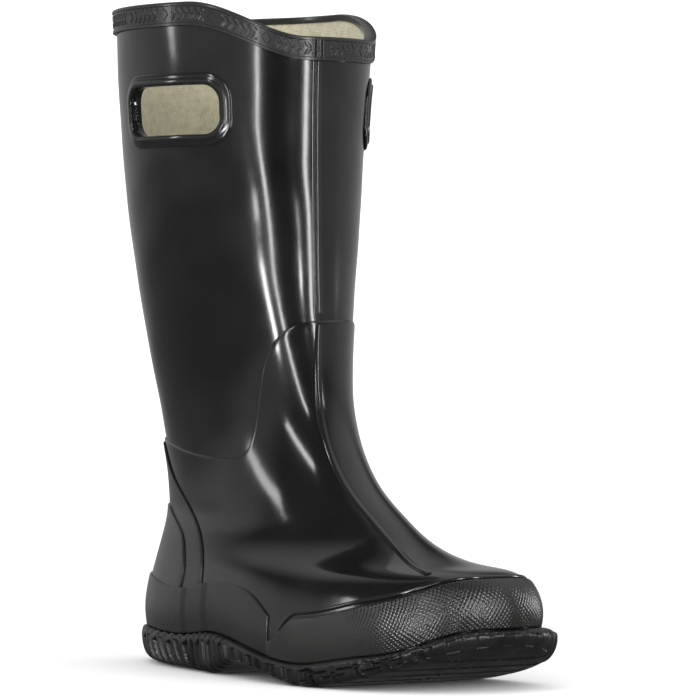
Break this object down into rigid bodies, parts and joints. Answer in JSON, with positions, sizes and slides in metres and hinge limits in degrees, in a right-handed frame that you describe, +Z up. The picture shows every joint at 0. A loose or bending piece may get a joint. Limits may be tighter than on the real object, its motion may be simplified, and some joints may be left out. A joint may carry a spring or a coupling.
{
  "type": "steel toe work boot",
  "caption": "Pull-on rubber work boot for the right foot, with steel toe cap, hand holes at the collar, lugged sole and lift-out footbed.",
  "frame": {"origin": "middle of the bounding box's base, on the ground", "axes": "+X towards the toe, +Y towards the inner side of the foot, +Z up"},
  "size_m": [0.3148, 0.1358, 0.3548],
  "materials": {
    "leg_rubber": "gloss",
    "vamp_rubber": "gloss",
    "heel_rubber": "satin",
    "foxing_rubber": "satin",
    "guard_rubber": "satin",
    "trim_rubber": "gloss",
    "binding_rubber": "satin",
    "sole_rubber": "satin",
    "filler_sponge": "matte",
    "shank_steel": "satin",
    "cap_steel": "satin",
    "cap_strip_rubber": "matte",
    "stiffener_board": "matte",
    "board": "matte",
    "footbed_foam": "matte",
    "footbed_cloth": "matte",
    "lining_cotton": "matte"
  },
  "bodies": {
    "boot": {"outsole": "sole_rubber", "heel_filler": "filler_sponge", "forefoot_filler": "filler_sponge", "steel_shank": "shank_steel", "insole_board": "board", "steel_toe_cap": "cap_steel", "toe_cap_strip": "cap_strip_rubber", "heel_stiffener": "stiffener_board", "leg_lining": "lining_cotton", "foot_lining": "lining_cotton", "rubber_half_outer": "leg_rubber", "rubber_half_inner": "leg_rubber", "front_ridge": "trim_rubber", "back_strip": "trim_rubber", "vamp_overlay": "vamp_rubber", "vamp_ridge": "trim_rubber", "heel_counter_low": "heel_rubber", "heel_counter_top": "heel_rubber", "foxing": "foxing_rubber", "toe_guard": "guard_rubber", "toe_guard_bead": "trim_rubber", "collar_binding": "binding_rubber", "collar_tab": "trim_rubber", "handle_frame_outer": "trim_rubber", "handle_frame_inner": "trim_rubber", "handle_backing_outer": "trim_rubber", "handle_backing_inner": "trim_rubber"},
    "footbed": {"footbed_foam": "footbed_foam", "footbed_cover": "footbed_cloth"}
  },
  "joints": [
    {"name": "footbed_lift", "type": "hinge", "parent": "boot", "child": "footbed", "pos_m": [0.137, -0.0003, 0.0224], "axis": [0, 1, 0], "range_deg": [0, 5]}
  ]
}
